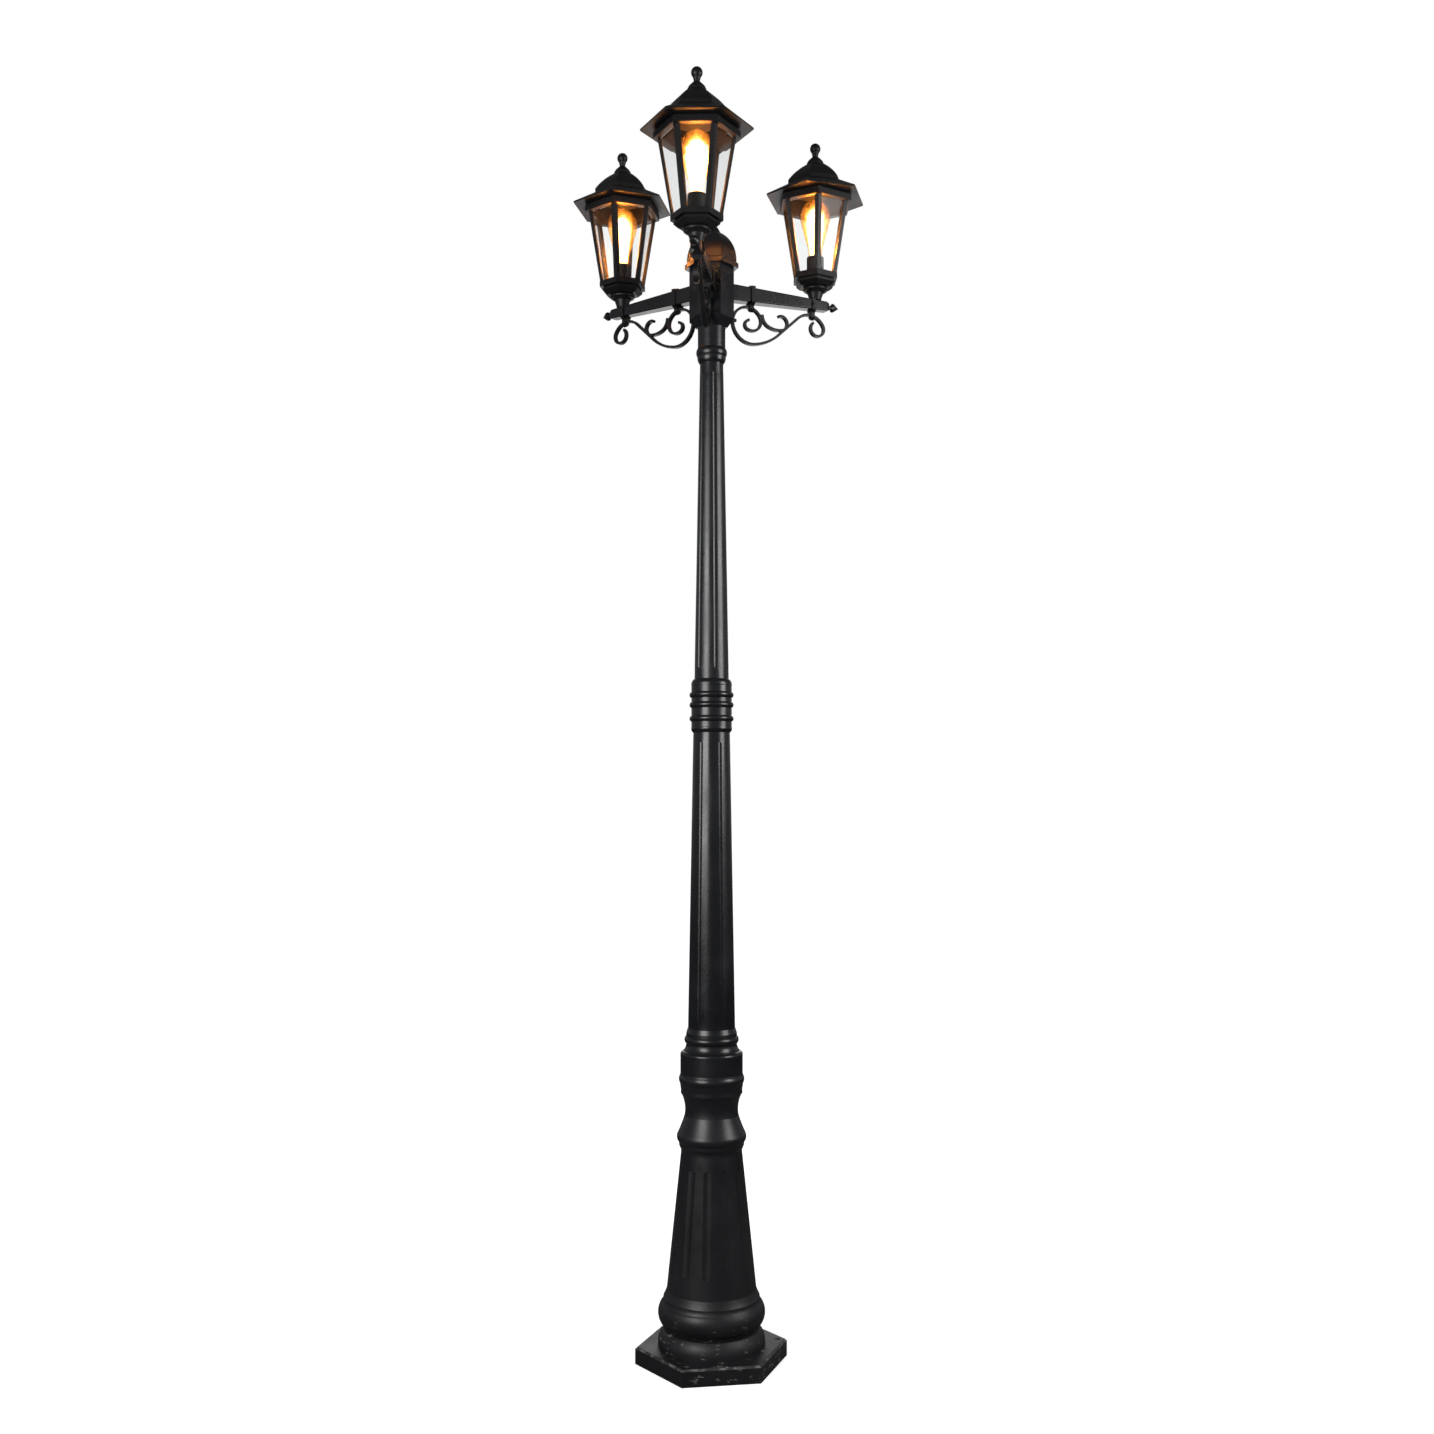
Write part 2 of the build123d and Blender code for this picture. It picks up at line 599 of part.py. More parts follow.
def roof_side():
    """Half of a roof's side: a flat floor, a thin lip, the sloping brim, a step and a bowed cap."""
    Polyline((0, ROOF_FLOOR), (BRIM_R, ROOF_FLOOR), (BRIM_R, ROOF_FLOOR + 3.2), (CROWN_R + 2, 2312.5),
             (CROWN_R, 2314), (CROWN_R, 2321))
    ThreePointArc((CROWN_R, 2321), (34, 2341), (15, ROOF_CAP))
    Polyline((15, ROOF_CAP), (0, ROOF_CAP), (0, ROOF_FLOOR))


def sloped_face(azimuth, centre, z):
    """The plane of one glazed face: its origin is at height z, and local y runs up the slope."""
    x, y = direction(azimuth)
    reach = FACE_LOW + SIDE_SLOPE * (z - RAIL_HIGH)
    lean = radians(degrees_of(SIDE_SLOPE))
    origin = (centre[0] + x * reach, centre[1] + y * reach, z)
    return Plane(origin=origin, x_dir=(-y, x, 0), z_dir=(x * cos(lean), y * cos(lean), -sin(lean)))


def glazed_corners(z_low, z_high, margin, inset=0):
    """The corners of a trapezium on a glazed face that stays margin inside the face's corners."""
    scale = 1 / cos(radians(degrees_of(SIDE_SLOPE)))
    low = (FACE_LOW + SIDE_SLOPE * (z_low - RAIL_HIGH) - inset) * HEX_TAN - margin
    high = (FACE_LOW + SIDE_SLOPE * (z_high - RAIL_HIGH) - inset) * HEX_TAN - margin
    rise = (z_high - z_low) * scale
    return (-low, 0), (low, 0), (high, rise), (-high, rise)


def bulb_outline(inset):
    """The bulb's outline, grown inward by inset: neck, flare, straight taper and round crown."""
    foot = HOLDER_TOP + inset
    neck = Line((BULB_NECK_R - inset, foot), (BULB_NECK_R - inset, HOLDER_TOP + 6))
    flare = JernArc(neck @ 1, (0, 1), 60 + inset, -15)
    taper = PolarLine(flare @ 1, 56, direction=flare % 1)
    crown = JernArc(taper @ 1, taper % 1, (taper @ 1).X / cos(radians(15)), 105)
    Polyline(crown @ 1, (0, foot), neck @ 0)


for side, azimuth in ARM_AZIMUTH.items():
    x, y = direction(azimuth)
    centre = (x * LANTERN_REACH, y * LANTERN_REACH)
    face = LANTERN_CORNER[side] + 30
    upright_axis = Axis((*centre, 0), (0, 0, 1))
    upright_face = upright(face, centre)

    with BuildPart() as lantern_cup:
        with BuildSketch(upright_face):
            with BuildLine():
                Polyline((0, CUP_FOOT), (12, CUP_FOOT), (12.5, 2090), (16, 2099.5), (20.5, 2103.5))
                ThreePointArc((20.5, 2103.5), (25, 2107.5), (21, CUP_TOP))
                Polyline((21, CUP_TOP), (0, CUP_TOP), (0, CUP_FOOT))
            make_face()
        revolve(axis=upright_axis)
        tier = polygon((26, 2110), (29, 2111), (36.5, 2118), (36.5, 2121), (34, 2121.5), (34, HOLDER_FOOT))
        add(hexagonal(tier, centre, face))
        with BuildSketch(Plane.XY.offset(CUP_FOOT)):
            with Locations(centre):
                Circle(NIPPLE_R + 0.1)
        extrude(amount=HOLDER_FOOT - CUP_FOOT, mode=Mode.SUBTRACT)
    keep(lantern_cup.part, f"lantern_cup_{side}")

    frame_outer = polygon((41.4, RAIL_LOW), (41.4, RAIL_HIGH), (FACE_LOW, RAIL_HIGH), (FACE_HIGH, RING_LOW),
                          (RING_R, RING_LOW), (RING_R, RING_STEP), (64, RING_STEP), (64, ROOF_FLOOR))
    frame_inner = polygon((34.4, RAIL_LOW), (34.4, RAIL_HIGH), (FACE_LOW - FRAME_WALL, RAIL_HIGH),
                          (FACE_HIGH - FRAME_WALL, RING_LOW), (RING_BORE_R, RING_LOW),
                          (RING_BORE_R, ROOF_FLOOR))
    with BuildPart() as lantern_frame:
        add(hexagonal(frame_outer, centre, face))
        add(hexagonal(frame_inner, centre, face), mode=Mode.SUBTRACT)
        for k in range(6):
            with BuildSketch(sloped_face(face + 60 * k, centre, RAIL_HIGH)):
                Polygon(*glazed_corners(RAIL_HIGH, RING_LOW, POST_LEG), align=None)
            extrude(amount=6, both=True, mode=Mode.SUBTRACT)
    keep(lantern_frame.part, f"lantern_frame_{side}")

    with BuildPart() as glass_panes:
        for k in range(6):
            glass_face = sloped_face(face + 60 * k, centre, RAIL_HIGH + 1).offset(-FRAME_WALL - 0.05)
            corners = glazed_corners(RAIL_HIGH + 1, RING_LOW - 1, 0.6, FRAME_WALL + PANE_THICK)
            with BuildSketch(glass_face):
                Polygon(*corners, align=None)
            extrude(amount=-PANE_THICK)
    keep(glass_panes.part, f"glass_panes_{side}")

    with BuildPart() as lampholder:
        with BuildSketch(upright_face):
            with BuildLine():
                Polyline((0, HOLDER_FOOT), (19.5, HOLDER_FOOT), (19.5, 2137), (HOLDER_R, 2139),
                         (HOLDER_R, HOLDER_TOP - 1.5), (HOLDER_R - 1.5, HOLDER_TOP), (SOCKET_R, HOLDER_TOP),
                         (SOCKET_R, 2143), (0, 2143), close=True)
            make_face()
        revolve(axis=upright_axis)
    keep(lampholder.part, f"lampholder_{side}")

    with BuildPart() as bulb_cap:
        with BuildSketch(upright_face):
            with BuildLine():
                Polyline((0, 2144), (4.8, 2144), (5.5, 2146), (11.5, 2149.5), (BULB_CAP_R, 2151),
                         (BULB_CAP_R, HOLDER_TOP), (0, HOLDER_TOP), close=True)
            make_face()
        revolve(axis=upright_axis)
    keep(bulb_cap.part, f"bulb_cap_{side}")

    with BuildPart() as bulb_glass:
        with BuildSketch(upright_face):
            with BuildLine():
                bulb_outline(0)
            make_face()
        revolve(axis=upright_axis)
        with BuildSketch(upright_face):
            with BuildLine():
                bulb_outline(BULB_WALL)
            make_face()
        revolve(axis=upright_axis, mode=Mode.SUBTRACT)
    keep(bulb_glass.part, f"bulb_glass_{side}")

    with BuildPart() as filament:
        with BuildSketch(upright_face):
            with BuildLine():
                stem_foot = HOLDER_TOP + BULB_WALL
                Polyline((0, stem_foot), (9, stem_foot), (5, 2181), (3, 2196), (2, WIRE_TOP), (0, WIRE_TOP),
                         close=True)
            make_face()
        revolve(axis=upright_axis)
        for k in range(4):
            sx, sy = direction(face + 90 * k)
            low = Vector(centre[0] + sx * 2.2, centre[1] + sy * 2.2, WIRE_LOW)
            high = Vector(centre[0] + sx * 13, centre[1] + sy * 13, WIRE_TOP)
            with BuildSketch(Plane(origin=low, z_dir=high - low)):
                Circle(1.1)
            extrude(amount=(high - low).length)
    keep(filament.part, f"filament_{side}")

    # The roof's skirt and hollow are round, so that the roof sits on its ring at any turn.
    with BuildPart() as roof:
        add(hexagonal(roof_side, centre, ROOF_CORNER[side] + 30))
        with BuildSketch(upright_face):
            with BuildLine():
                Polyline((0, SKIRT_LOW), (SKIRT_R, SKIRT_LOW), (SKIRT_R, ROOF_FLOOR + 1),
                         (0, ROOF_FLOOR + 1), close=True)
            make_face()
            with BuildLine():
                Polyline((0, ROOF_CAP - 2), (17, ROOF_CAP - 2), (17, 2360), (14.5, 2364.5),
                         (8.5, ROOF_TOP), (0, ROOF_TOP), close=True)
            make_face()
        revolve(axis=upright_axis)
        with BuildSketch(upright_face):
            with BuildLine():
                Polyline((0, SKIRT_LOW), (SKIRT_R - 2.7, SKIRT_LOW), (SKIRT_R - 2.7, 2306), (45, 2316),
                         (11, 2352.5), (0, 2352.5), close=True)
            make_face()
        revolve(axis=upright_axis, mode=Mode.SUBTRACT)
        with BuildSketch(Plane.XY.offset(2350)):
            with Locations(centre):
                Circle(4)
        extrude(amount=25, mode=Mode.SUBTRACT)
    keep(roof.part, f"roof_{side}")

    with BuildPart() as roof_knob:
        with BuildSketch(upright_face):
            with BuildLine():
                top = ball(KNOB_TOP - KNOB_R, KNOB_R, KNOB_NECK_R)
                Polyline(top @ 1, (0, 2345.5), (7.5, 2345.5), (7.5, 2352.1), (STUD_R, 2352.1), (STUD_R, 2371),
                         (6.6, 2371), (6.6, 2372.5), (KNOB_FOOT_R, 2373.5), top @ 0)
            make_face()
        revolve(axis=upright_axis)
    keep(roof_knob.part, f"roof_knob_{side}")

# A short threaded tube clamps each cup to its arm and carries the lead up to the lampholder.
with BuildPart() as lantern_nipples:
    for azimuth in ARM_AZIMUTH.values():
        x, y = direction(azimuth)
        centre = (x * LANTERN_REACH, y * LANTERN_REACH)
        nut_top = CUP_FOOT - ARM_WALL - 2.1
        with BuildSketch(upright(azimuth, centre)):
            with BuildLine():
                Polyline((NIPPLE_BORE_R, 2079.2), (5.9, 2079.2), (5.9, nut_top), (NIPPLE_R, nut_top),
                         (NIPPLE_R, HOLDER_FOOT), (NIPPLE_BORE_R, HOLDER_FOOT), close=True)
            make_face()
        revolve(axis=Axis((*centre, 0), (0, 0, 1)))
keep(lantern_nipples.part, "lantern_nipples")
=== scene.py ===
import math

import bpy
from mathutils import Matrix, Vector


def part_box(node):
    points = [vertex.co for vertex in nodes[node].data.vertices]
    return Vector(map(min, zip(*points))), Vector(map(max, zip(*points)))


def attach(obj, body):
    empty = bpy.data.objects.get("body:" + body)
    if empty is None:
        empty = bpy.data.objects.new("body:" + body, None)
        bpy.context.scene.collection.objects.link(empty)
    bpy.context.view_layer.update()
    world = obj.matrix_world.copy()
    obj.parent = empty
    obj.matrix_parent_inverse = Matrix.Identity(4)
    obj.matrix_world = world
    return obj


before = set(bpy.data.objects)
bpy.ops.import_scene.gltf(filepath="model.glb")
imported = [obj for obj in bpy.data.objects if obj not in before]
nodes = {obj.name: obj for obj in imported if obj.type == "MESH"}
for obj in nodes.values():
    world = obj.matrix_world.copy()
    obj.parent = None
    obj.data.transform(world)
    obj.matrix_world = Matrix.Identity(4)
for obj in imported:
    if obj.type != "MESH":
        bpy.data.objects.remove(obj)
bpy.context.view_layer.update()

# The looks of a three-lantern garden lamp post: satin black powder coat over castings and
# wrought bars, clear panes, and three glowing pear-shaped bulbs.  Metres, in the CAD frame.

scene = bpy.context.scene
SIDES = ("front", "right", "left")


# ---------------------------------------------------------------- node helpers
class Shader:
    """A small wrapper that makes one material's node tree readable."""

    def __init__(self, name):
        self.material = bpy.data.materials.new(name)
        self.material.use_nodes = True
        self.tree = self.material.node_tree
        self.tree.nodes.clear()
        self.output = self.add("ShaderNodeOutputMaterial")
        self.place = self.add("ShaderNodeTexCoord").outputs["Object"]

    def add(self, kind, **settings):
        """Adds a node; each setting is a property of the node or the value of one of its sockets."""
        node = self.tree.nodes.new(kind)
        for key, value in settings.items():
            if hasattr(node, key):
                setattr(node, key, value)
            else:
                node.inputs[key.replace("_", " ")].default_value = value
        return node

    def link(self, source, target):
        self.tree.links.new(source, target)

    def stretched(self, scale):
        """The object's coordinates multiplied by one factor for each axis."""
        node = self.add("ShaderNodeMapping")
        node.inputs["Scale"].default_value = scale
        self.link(self.place, node.inputs["Vector"])
        return node.outputs["Vector"]

    def noise(self, size, detail=3.0, roughness=0.5, vector=None):
        """Noise whose features are about size metres across."""
        node = self.add("ShaderNodeTexNoise", Scale=1 / size, Detail=detail, Roughness=roughness)
        self.link(vector or self.place, node.inputs["Vector"])
        return node.outputs["Fac"]

    def remap(self, value, low, high, to_low=0.0, to_high=1.0):
        """Takes value from low..high to to_low..to_high, held at both ends."""
        node = self.add("ShaderNodeMapRange", clamp=True)
        for name, number in (("From Min", low), ("From Max", high), ("To Min", to_low), ("To Max", to_high)):
            node.inputs[name].default_value = number
        self.link(value, node.inputs["Value"])
        return node.outputs["Result"]

    def math(self, operation, a, b):
        node = self.add("ShaderNodeMath", operation=operation)
        for socket, value in zip(node.inputs, (a, b)):
            if isinstance(value, (int, float)):
                socket.default_value = value
            else:
                self.link(value, socket)
        return node.outputs[0]

    def blend(self, share, first, second):
        """A colour between first and second, each a colour or a socket."""
        node = self.add("ShaderNodeMix", data_type="RGBA")
        self.link(share, node.inputs["Factor"])
        for socket, value in ((node.inputs[6], first), (node.inputs[7], second)):
            if isinstance(value, tuple):
                socket.default_value = (*value, 1.0)
            else:
                self.link(value, socket)
        return node.outputs[2]

    def bump(self, height, distance, strength=1.0, under=None):
        node = self.add("ShaderNodeBump", Strength=strength, Distance=distance)
        self.link(height, node.inputs["Height"])
        if under is not None:
            self.link(under, node.inputs["Normal"])
        return node.outputs["Normal"]

    def height(self):
        """The object's own Z coordinate."""
        node = self.add("ShaderNodeSeparateXYZ")
        self.link(self.place, node.inputs[0])
        return node.outputs["Z"]

    def principled(self, **settings):
        node = self.add("ShaderNodeBsdfPrincipled")
        for key, value in settings.items():
            socket = node.inputs[key.replace("_", " ")]
            if isinstance(value, (int, float)):
                socket.default_value = value
            elif isinstance(value, tuple):
                socket.default_value = (*value, 1.0)
            else:
                self.link(value, socket)
        self.link(node.outputs[0], self.output.inputs["Surface"])
        return node


# ---------------------------------------------------------------- finishes
# Where the coat is worn, and where the foot's chamfered rim carries a painted highlight, as heights above
# the ground: each pair runs from none to full or back.
DUST_HEIGHTS = (0.05, 0.6)
RUB_HEIGHTS = (0.06, 0.125)
RIM_START = (0.0288, 0.0295)
RIM_END = (0.0321, 0.0328)
# the pale colour of the worn rubs, and of the painted highlight along the foot's rim
BARE_METAL_AND_HIGHLIGHT = (0.2, 0.195, 0.185)


def powder_coat(name, colour, sheen_low, sheen_high, grain, depth, shine, scuffed_with_rim_highlight=False):
    """Satin powder coat: orange-peel grain, soft cloudy gloss, and on a worn coat pale rubs plus a pale
    painted highlight along the foot's chamfered rim.

    The roughness varies from sheen_low to sheen_high, the orange peel is grain across and depth
    deep, and shine is the coat's specular level.
    """
    coat = Shader(name)
    cloud = coat.noise(0.09, detail=4.0)
    peel = coat.noise(grain, detail=2.0)
    speck = coat.noise(grain * 0.35, detail=1.0)
    dusty = tuple(c * 1.6 + 0.001 for c in colour)
    body = coat.blend(coat.remap(cloud, 0.45, 0.75, 0.0, 0.55), colour, dusty)
    cloudy = coat.math("ADD", cloud, coat.math("MULTIPLY", peel, 0.3))
    gloss = coat.remap(cloudy, 0.45, 0.85, sheen_low, sheen_high)
    if scuffed_with_rim_highlight:
        height = coat.height()
        dust = coat.remap(height, *DUST_HEIGHTS, 0.2, 0.0)
        streak = coat.noise(0.016, detail=6.0, roughness=0.65, vector=coat.stretched((1.0, 1.0, 3.2)))
        patch = coat.remap(coat.noise(0.045, detail=2.0), 0.5, 0.58)
        low_down = coat.remap(height, *RUB_HEIGHTS, 1.0, 0.0)
        patch_low_down = coat.math("MULTIPLY", patch, low_down)
        wear_and_rim_highlight = coat.math("MULTIPLY", coat.remap(streak, 0.59, 0.66), patch_low_down)
        # The foot's chamfered rim is painted lighter along its whole length, a painted highlight, flecked
        # with chips of wear.
        above_start = coat.remap(height, *RIM_START)
        below_end = coat.remap(height, *RIM_END, 1.0, 0.0)
        rim = coat.math("MULTIPLY", above_start, below_end)
        rim_highlight_and_chips = coat.remap(coat.noise(0.012, detail=4.0), 0.47, 0.62, 0.1, 0.75)
        wear_and_rim_highlight = coat.math("MAXIMUM", wear_and_rim_highlight, coat.math("MULTIPLY", rim, rim_highlight_and_chips))
        # pales the coat in the worn rubs and in the painted highlight along the rim
        body = coat.blend(wear_and_rim_highlight, body, BARE_METAL_AND_HIGHLIGHT)
        gloss = coat.math("ADD", coat.math("ADD", gloss, dust), coat.math("MULTIPLY", wear_and_rim_highlight, 0.2))
    fine = coat.bump(speck, depth * 0.5)
    coat.principled(Base_Color=body, Roughness=gloss, Normal=coat.bump(peel, depth, under=fine),
                    Specular_IOR_Level=shine)
    return coat.material


def brushed(name, colour, metallic, rough):
    """A plated or moulded small part with faint turning marks."""
    skin = Shader(name)
    marks = skin.noise(0.0012, detail=2.0, vector=skin.stretched((1.0, 1.0, 5.0)))
    wear = skin.noise(0.01)
    tint = skin.blend(wear, colour, tuple(c * 0.7 for c in colour))
    sheen = skin.remap(marks, 0.3, 0.7, rough - 0.08, rough + 0.1)
    skin.principled(Base_Color=tint, Metallic=metallic, Roughness=sheen, Normal=skin.bump(marks, 0.00005))
    return skin.material


def thin_glass(name, tint, mirror_roughness, mirror_low, mirror_high):
    """Clear glass as a see-through surface with a mirror coat that grows towards grazing angles."""
    glass = Shader(name)
    clear = glass.add("ShaderNodeBsdfTransparent", Color=(*tint, 1.0))
    mirror = glass.add("ShaderNodeBsdfGlossy", Color=(1.0, 1.0, 1.0, 1.0), Roughness=mirror_roughness)
    ripple = glass.bump(glass.noise(0.03, detail=1.0), 0.0004)
    glass.link(ripple, mirror.inputs["Normal"])
    facing = glass.add("ShaderNodeLayerWeight", Blend=0.5).outputs["Facing"]
    share = glass.remap(glass.math("POWER", facing, 4.0), 0.0, 1.0, mirror_low, mirror_high)
    mix = glass.add("ShaderNodeMixShader")
    glass.link(share, mix.inputs[0])
    glass.link(clear.outputs[0], mix.inputs[1])
    glass.link(mirror.outputs[0], mix.inputs[2])
    glass.link(mix.outputs[0], glass.output.inputs["Surface"])
    return glass.material


def glow(name, colour, strength, contrast):
    """Light that adds to what is behind it and ambers it, flecked like the glare round a filament."""
    haze = Shader(name)
    licks = haze.noise(0.007, detail=4.0, roughness=0.65, vector=haze.stretched((1.0, 1.0, 0.45)))
    fleck = haze.remap(licks, 0.43, 0.58, (1 - contrast) * strength, (1 + contrast) * strength)
    light = haze.add("ShaderNodeEmission", Color=(*colour, 1.0))
    haze.link(fleck, light.inputs["Strength"])
    clear = haze.add("ShaderNodeBsdfTransparent", Color=HAZE_TINT)
    both = haze.add("ShaderNodeAddShader")
    haze.link(light.outputs[0], both.inputs[0])
    haze.link(clear.outputs[0], both.inputs[1])
    haze.link(both.outputs[0], haze.output.inputs["Surface"])
    haze.material.cycles.emission_sampling = "NONE"
    return haze.material


def hot_wire(name):
    """The lit filament: plain warm light."""
    wire = Shader(name)
    light = wire.add("ShaderNodeEmission", Color=(1.0, 0.62, 0.24, 1.0), Strength=12.0)
    wire.link(light.outputs[0], wire.output.inputs["Surface"])
    wire.material.cycles.emission_sampling = "NONE"
    return wire.material


CAST_BLACK = (0.0062, 0.0065, 0.0078)
LANTERN_BLACK = (0.0055, 0.0055, 0.006)
WROUGHT_BLACK = (0.005, 0.005, 0.0055)
HAZE_TINT = (1.0, 0.97, 0.915, 1.0)
finishes = {
    # cast_black carries the worn rubs and a painted highlight along the foot's chamfered rim
    "cast_black": powder_coat("cast_black_finish", CAST_BLACK, 0.22, 0.36, 0.008, 0.00003, 0.46,
                              scuffed_with_rim_highlight=True),
    "lantern_black": powder_coat("lantern_black_finish", LANTERN_BLACK, 0.38, 0.48, 0.005, 0.00003, 0.3),
    "wrought_black": powder_coat("wrought_black_finish", WROUGHT_BLACK, 0.3, 0.42, 0.005, 0.00008, 0.42),
    "black_screw": brushed("black_screw_finish", (0.02, 0.02, 0.021), 0.4, 0.4),
    "plated_brass": brushed("plated_brass_finish", (0.55, 0.42, 0.2), 1.0, 0.3),
    "cap_metal": brushed("cap_metal_finish", (0.62, 0.56, 0.45), 1.0, 0.28),
    "holder_black": brushed("holder_black_finish", (0.005, 0.0045, 0.004), 0.0, 0.6),
    "moulded_nylon": brushed("moulded_nylon_finish", (0.7, 0.69, 0.64), 0.0, 0.5),
    "lead_sheath": brushed("lead_sheath_finish", (0.02, 0.02, 0.021), 0.0, 0.5),
    "pane_glass": thin_glass("pane_glass_finish", (0.978, 0.984, 0.982), 0.02, 0.009, 0.5),
    "bulb_glass": thin_glass("bulb_glass_finish", (0.985, 0.915, 0.77), 0.01, 0.03, 0.5),
    "filament_glow": hot_wire("filament_glow_finish"),
}
for node in nodes.values():
    for material_slot in node.material_slots:
        material_slot.material = finishes[material_slot.material.name]


# ---------------------------------------------------------------- the glow in each bulb
# Each shell: how far out it lies between the bright core (0) and the glass (1), its light, how
# much the flecks vary it, and its colour.
GLOW_SHELLS = (
    (0.95, 0.15, 1.0, (1.0, 0.30, 0.035)),
    (0.80, 0.19, 1.0, (1.0, 0.36, 0.055)),
    (0.60, 0.24, 1.0, (1.0, 0.42, 0.08)),
    (0.42, 0.35, 0.7, (1.0, 0.52, 0.16)),
    (0.22, 0.80, 0.4, (1.0, 0.70, 0.36)),
    (0.00, 3.00, 0.2, (1.0, 0.90, 0.74)),
)
MIRRORED_LIGHT = 1.0  # only shells fainter than this show in the panes and the coat
GLOW_GIRTH = {"front": 1.0, "right": 0.85, "left": 0.78}  # how wide each bulb's bright core looks
SHELL_ROWS = 28
SHELL_SPOKES = 40
SHELL_CLEARANCE = 0.0009  # from the glass's own radius
SHELL_LEAST_RADIUS = 0.0004
# Shares of the bulb's height: where every shell starts, and where one ends at the core or at the glass.
SHELL_FOOT = 0.02
CORE_TOP = 0.85
GLASS_TOP = 0.98

# The bulb's glass: a straight neck, a taper that eases in above it, and a round crown.
BULB_HEIGHT = 0.1148
NECK_HEIGHT = 0.006
NECK_RADIUS = 0.0135
TAPER_SLOPE = math.tan(math.radians(15))
TAPER_EASE = 0.03  # height over which the taper reaches its slope
CROWN_CENTRE = 0.0837
CROWN_RADIUS = 0.0311

# The bright core: its radius at the foot and how much wider it grows.
CORE_FOOT_RADIUS = 0.0112
CORE_SWELL = 0.0082
# Shares of the bulb's height: where the core is at its widest, closes and starts to lick outward.
CORE_FULL_AT = 0.5
CORE_CLOSES_FROM = 0.55
CORE_CLOSES_OVER = 0.30
LICKS_START = 0.4
LICKS_GROW_OVER = 0.3
LICK_SIZE = 0.13  # a share of the core's radius


def glass_radius(share):
    """The bulb glass's radius at a share of its height, foot 0 to crown 1."""
    height = share * BULB_HEIGHT
    if height < NECK_HEIGHT:
        return NECK_RADIUS
    if height > CROWN_CENTRE:
        return math.sqrt(max(0.0, CROWN_RADIUS**2 - (height - CROWN_CENTRE) ** 2))
    above_neck = height - NECK_HEIGHT
    taper = NECK_RADIUS + above_neck * TAPER_SLOPE * min(1.0, above_neck / TAPER_EASE)
    return min(taper, CROWN_RADIUS)


def flicker(share, angle):
    """How far the bright column's upper part licks outward, like a flame, at an angle round it."""
    rise = min(1.0, max(0.0, (share - LICKS_START) / LICKS_GROW_OVER))
    broad = math.sin(5 * angle + 40 * share)
    fine = 0.6 * math.sin(9 * angle - 65 * share)
    return 1 + LICK_SIZE * rise * (broad + fine)


def core_radius(share, girth):
    """The white-hot column's radius at a share of the bulb's height."""
    column = girth * (CORE_FOOT_RADIUS + CORE_SWELL * min(1.0, share / CORE_FULL_AT))
    if share > CORE_CLOSES_FROM:
        column *= math.sqrt(max(0.0, 1 - ((share - CORE_CLOSES_FROM) / CORE_CLOSES_OVER) ** 2))
    return column


def glow_shell(name, foot, outward, girth, material):
    """One closed pear-shaped shell of the glow, between the core and the glass."""
    rows, faces = [], []
    top = CORE_TOP + (GLASS_TOP - CORE_TOP) * outward
    for k in range(SHELL_ROWS + 1):
        share = SHELL_FOOT + (top - SHELL_FOOT) * k / SHELL_ROWS
        z = foot.z + share * BULB_HEIGHT
        for j in range(SHELL_SPOKES):
            a = 2 * math.pi * j / SHELL_SPOKES
            core = core_radius(share, girth) * flicker(share, a)
            radius = core * (1 - outward) + (glass_radius(share) - SHELL_CLEARANCE) * outward
            radius = max(radius, SHELL_LEAST_RADIUS)
            rows.append((foot.x + radius * math.cos(a), foot.y + radius * math.sin(a), z))
    for k in range(SHELL_ROWS):
        for j in range(SHELL_SPOKES):
            n = (j + 1) % SHELL_SPOKES
            low, high = k * SHELL_SPOKES, (k + 1) * SHELL_SPOKES
            faces.append((low + j, low + n, high + n, high + j))
    faces.append(tuple(reversed(range(SHELL_SPOKES))))
    faces.append(tuple(range(SHELL_ROWS * SHELL_SPOKES, (SHELL_ROWS + 1) * SHELL_SPOKES)))
    mesh = bpy.data.meshes.new(name)
    mesh.from_pydata(rows, [], faces)
    for face in mesh.polygons:
        face.use_smooth = True
    mesh.materials.append(material)
    shell = bpy.data.objects.new(name, mesh)
    scene.collection.objects.link(shell)
    return shell


LAMP_COLOUR = (1.0, 0.31, 0.055)
LAMP_SIZE = 0.012


def lamp(side, place, watts, receivers):
    """A small warm light that only the receivers take."""
    data = bpy.data.lights.new(f"lamp_{side}", "POINT")
    data.energy = watts
    data.color = LAMP_COLOUR
    data.shadow_soft_size = LAMP_SIZE
    light = bpy.data.objects.new(f"lamp_{side}", data)
    light.location = place
    light.visible_camera = False
    light.light_linking.receiver_collection = receivers
    scene.collection.objects.link(light)
    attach(light, f"{side}_bulb")


def gathered(name, wanted):
    """A collection of the nodes whose names are wanted, for the lamps to light."""
    group = bpy.data.collections.new(name)
    for node_name in wanted:
        group.objects.link(nodes[node_name])
    return group


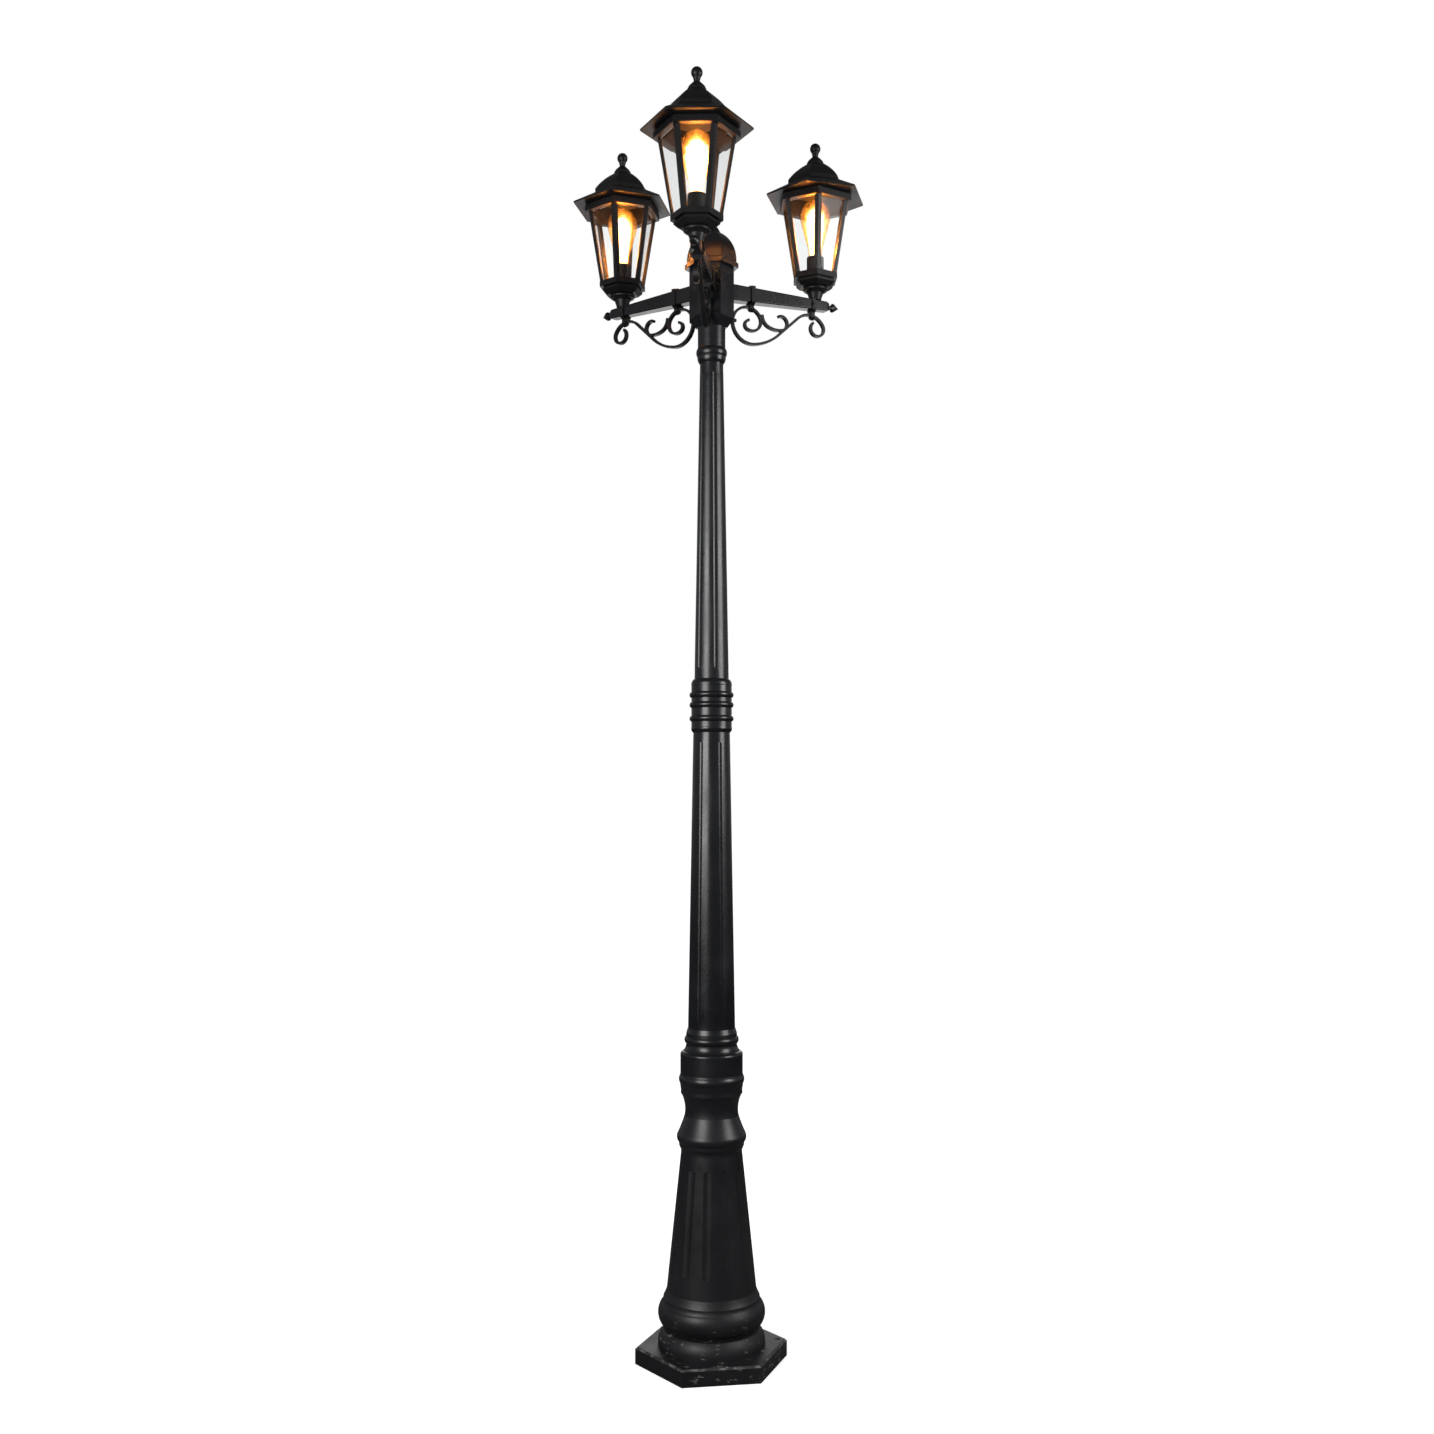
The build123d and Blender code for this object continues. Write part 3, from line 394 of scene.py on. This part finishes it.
LANTERN_NODES = ("lantern_cup", "lantern_frame", "glass_panes", "lampholder", "bulb_cap", "bulb_glass",
                 "filament", "roof", "roof_knob")
GLASS_NODES = ("glass_panes", "bulb_glass", "filament")  # these take no light from their own lamps
LIT_NODES = [part for part in LANTERN_NODES if part not in GLASS_NODES]
LAMPS = ((0.025, 1.9), (0.055, 1.0), (0.08, 0.3))  # height above the bulb's foot, and relative strength
NEAR_WATTS = 1.25
SPILL_WATTS = 0.2
shell_finishes = [
    glow(f"glow_{k}", colour, light, contrast) for k, (_, light, contrast, colour) in enumerate(GLOW_SHELLS)
]
for side in SIDES:
    own = [f"{part}_{side}" for part in LANTERN_NODES]
    near = gathered(f"lit_near_{side}", [f"{part}_{side}" for part in LIT_NODES])
    far = gathered(f"lit_far_{side}", [name for name in nodes if name not in own and name != "head_box"])
    low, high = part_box(f"bulb_glass_{side}")
    foot = Vector(((low.x + high.x) / 2, (low.y + high.y) / 2, low.z))
    for k, (outward, light, _, _) in enumerate(GLOW_SHELLS):
        shell = glow_shell(f"glow_{side}_{k}", foot, outward, GLOW_GIRTH[side], shell_finishes[k])
        shell.visible_glossy = light < MIRRORED_LIGHT
        shell.visible_diffuse = False
        shell.visible_shadow = False
        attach(shell, f"{side}_bulb")
    for rise, strength in LAMPS:
        place = foot + Vector((0, 0, rise))
        lamp(side, place, NEAR_WATTS * strength, near)
        lamp(side, place, SPILL_WATTS * strength, far)
    nodes[f"bulb_glass_{side}"].visible_shadow = False


# ---------------------------------------------------------------- studio
FLOOR_RADIUS = 30.0
FLOOR_SPOKES = 96
FLOOR_Z = -0.0005  # just under the foot
FLOOR_FADE = (0.25, 1.4)  # distances from the post between which the floor brightens to white
FLOOR_GREY = (0.6, 0.6, 0.6, 1.0)
FLOOR_BOUNCE = (0.14, 0.14, 0.14, 1.0)  # what reflections and bounced light see of the floor


def pale_floor():
    """A wide pale floor that keeps a soft shadow near the foot and fades to the white surround."""
    turns = [2 * math.pi * k / FLOOR_SPOKES for k in range(FLOOR_SPOKES)]
    ring = [(FLOOR_RADIUS * math.cos(turn), FLOOR_RADIUS * math.sin(turn), FLOOR_Z) for turn in turns]
    mesh = bpy.data.meshes.new("floor")
    mesh.from_pydata(ring, [], [tuple(range(FLOOR_SPOKES))])
    floor = bpy.data.objects.new("floor", mesh)
    scene.collection.objects.link(floor)
    look = Shader("pale_floor")
    far = look.add("ShaderNodeVectorMath", operation="LENGTH")
    look.link(look.place, far.inputs[0])
    lift = look.remap(far.outputs["Value"], *FLOOR_FADE, 0.76, 1.0)
    matt = look.add("ShaderNodeBsdfDiffuse", Color=FLOOR_GREY)
    light = look.add("ShaderNodeEmission", Color=(1.0, 1.0, 1.0, 1.0))
    look.link(lift, light.inputs["Strength"])
    seen = look.add("ShaderNodeAddShader")
    look.link(matt.outputs[0], seen.inputs[0])
    look.link(light.outputs[0], seen.inputs[1])
    unseen = look.add("ShaderNodeBsdfDiffuse", Color=FLOOR_BOUNCE)
    path = look.add("ShaderNodeLightPath")
    mix = look.add("ShaderNodeMixShader")
    look.link(path.outputs["Is Camera Ray"], mix.inputs[0])
    look.link(unseen.outputs[0], mix.inputs[1])
    look.link(seen.outputs[0], mix.inputs[2])
    look.link(mix.outputs[0], look.output.inputs["Surface"])
    mesh.materials.append(look.material)


def softbox(name, azimuth, distance, height, width, tall, radiance):
    """A vertical area light that faces the post from an azimuth, as bright as radiance."""
    data = bpy.data.lights.new(name, "AREA")
    data.shape = "RECTANGLE"
    data.size = width
    data.size_y = tall
    data.energy = radiance * math.pi * width * tall
    box = bpy.data.objects.new(name, data)
    a = math.radians(azimuth)
    box.location = (distance * math.cos(a), distance * math.sin(a), height)
    box.rotation_euler = Vector((math.cos(a), math.sin(a), 0)).to_track_quat("Z", "Y").to_euler()
    box.visible_camera = False
    scene.collection.objects.link(box)


def surround():
    """White where the camera sees it; for everything else a dim room that darkens overhead."""
    world = bpy.data.worlds.new("surround")
    scene.world = world
    world.use_nodes = True
    tree = world.node_tree
    tree.nodes.clear()
    white = tree.nodes.new("ShaderNodeBackground")
    white.inputs["Color"].default_value = (1.0, 1.0, 1.0, 1.0)
    dim = tree.nodes.new("ShaderNodeBackground")
    dim.inputs["Color"].default_value = (0.94, 0.96, 1.0, 1.0)
    toward = tree.nodes.new("ShaderNodeTexCoord")
    split = tree.nodes.new("ShaderNodeSeparateXYZ")
    fade = tree.nodes.new("ShaderNodeMapRange")
    for name, number in (("From Min", 0.1), ("From Max", 0.7), ("To Min", 0.29), ("To Max", 0.1)):
        fade.inputs[name].default_value = number
    tree.links.new(toward.outputs["Generated"], split.inputs[0])
    tree.links.new(split.outputs["Z"], fade.inputs["Value"])
    tree.links.new(fade.outputs["Result"], dim.inputs["Strength"])
    path = tree.nodes.new("ShaderNodeLightPath")
    mix = tree.nodes.new("ShaderNodeMixShader")
    out = tree.nodes.new("ShaderNodeOutputWorld")
    tree.links.new(path.outputs["Is Camera Ray"], mix.inputs[0])
    tree.links.new(dim.outputs[0], mix.inputs[1])
    tree.links.new(white.outputs[0], mix.inputs[2])
    tree.links.new(mix.outputs[0], out.inputs["Surface"])


# Name, azimuth, distance from the post, height of its middle, width, tallness and radiance.
SOFTBOXES = (
    ("softbox_left", -120.0, 2.2, 1.6, 1.2, 1.35, 9.0),
    ("softbox_right", -14.0, 2.2, 1.9, 1.05, 1.4, 8.0),
    ("softbox_back", 95.0, 2.4, 1.6, 1.2, 1.8, 1.8),
)
pale_floor()
surround()
for row in SOFTBOXES:
    softbox(*row)

# ---------------------------------------------------------------- camera
VIEW_TURN = math.radians(6.5)  # how far the camera stands to the right of the front arm's line
VIEW_DISTANCE = 2.865
VIEW_OFFSET = 0.0105  # sideways, so that the post stands a little left of the middle
EYE_HEIGHT = 1.105
LENS = 37.04
SENSOR_WIDTH = 36.0
SHIFT_UP = 0.0512
camera_data = bpy.data.cameras.new("camera")
camera_data.lens = LENS
camera_data.sensor_width = SENSOR_WIDTH
camera_data.shift_y = SHIFT_UP
camera = bpy.data.objects.new("camera", camera_data)
camera.location = (
    VIEW_DISTANCE * math.sin(VIEW_TURN) + VIEW_OFFSET * math.cos(VIEW_TURN),
    -VIEW_DISTANCE * math.cos(VIEW_TURN) + VIEW_OFFSET * math.sin(VIEW_TURN),
    EYE_HEIGHT,
)
camera.rotation_euler = (math.radians(90), 0, VIEW_TURN)
scene.collection.objects.link(camera)
scene.camera = camera

scene.view_settings.view_transform = "Standard"
scene.cycles.transparent_max_bounces = 64
